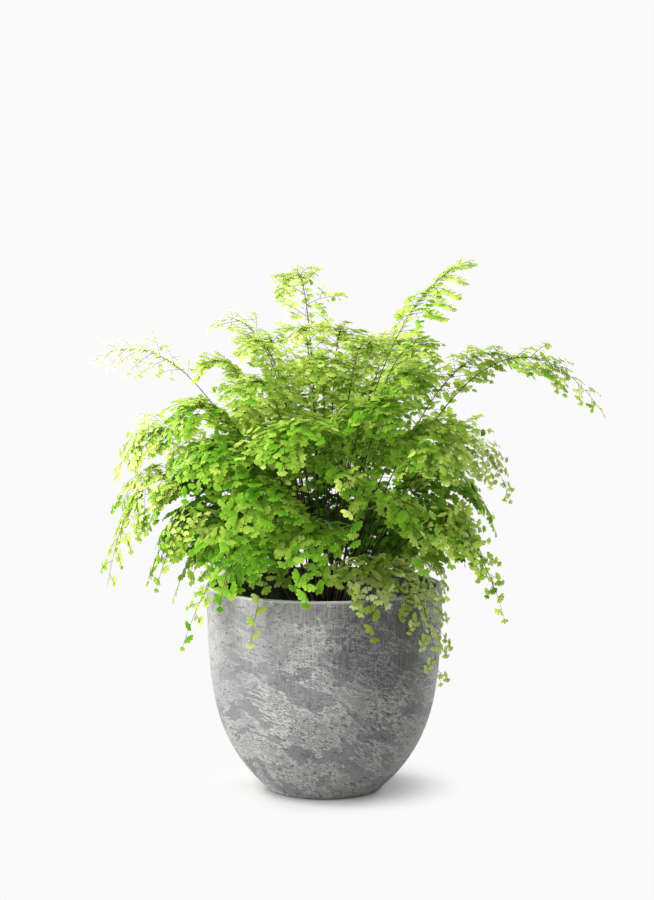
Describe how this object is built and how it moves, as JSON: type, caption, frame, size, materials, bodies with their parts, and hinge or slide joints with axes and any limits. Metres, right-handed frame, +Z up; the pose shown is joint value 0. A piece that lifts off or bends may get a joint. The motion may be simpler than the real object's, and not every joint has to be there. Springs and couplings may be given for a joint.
{
  "type": "potted maidenhair fern",
  "caption": "Maidenhair fern with arching fronds of small fan-shaped leaflets on dark wiry stipes, in a deep round grey stone-look planter that stands on a flat foot.",
  "frame": {"origin": "centre of the planter's foot, on the surface that it stands on", "axes": "+Z up along the planter's axis; -Y is the side that faces the viewer, +X is that viewer's right"},
  "size_m": [0.6391, 0.4792, 0.6545],
  "materials": {
    "planter_stone": "satin",
    "mesh_plastic": "matte",
    "potting_soil": "matte",
    "rootstock": "matte",
    "leaflet": "satin",
    "stipe": "satin"
  },
  "bodies": {
    "root": {"drain_mesh": "mesh_plastic", "frond_01": "leaflet", "frond_02": "leaflet", "frond_03": "leaflet", "frond_04": "leaflet", "frond_05": "leaflet", "frond_06": "leaflet", "frond_07": "leaflet", "frond_08": "leaflet", "frond_09": "leaflet", "frond_10": "leaflet", "frond_11": "leaflet", "frond_12": "leaflet", "frond_13": "leaflet", "frond_14": "leaflet", "frond_15": "leaflet", "frond_16": "leaflet", "frond_17": "leaflet", "frond_18": "leaflet", "frond_19": "leaflet", "frond_20": "leaflet", "frond_21": "leaflet", "frond_22": "leaflet", "frond_23": "leaflet", "frond_24": "leaflet", "frond_25": "leaflet", "frond_26": "leaflet", "frond_27": "leaflet", "frond_28": "leaflet", "frond_29": "leaflet", "frond_30": "leaflet", "frond_31": "leaflet", "frond_32": "leaflet", "frond_33": "leaflet", "frond_34": "leaflet", "frond_35": "leaflet", "frond_36": "leaflet", "frond_37": "leaflet", "frond_38": "leaflet", "frond_39": "leaflet", "frond_40": "leaflet", "frond_41": "leaflet", "frond_42": "leaflet", "frond_43": "leaflet", "frond_44": "leaflet", "frond_45": "leaflet", "frond_46": "leaflet", "frond_47": "leaflet", "frond_48": "leaflet", "frond_49": "leaflet", "frond_50": "leaflet", "frond_51": "leaflet", "frond_52": "leaflet", "frond_53": "leaflet", "frond_54": "leaflet", "frond_55": "leaflet", "frond_56": "leaflet", "planter": "planter_stone", "potting_soil": "potting_soil", "rootstock_crown": "rootstock"}
  },
  "joints": []
}
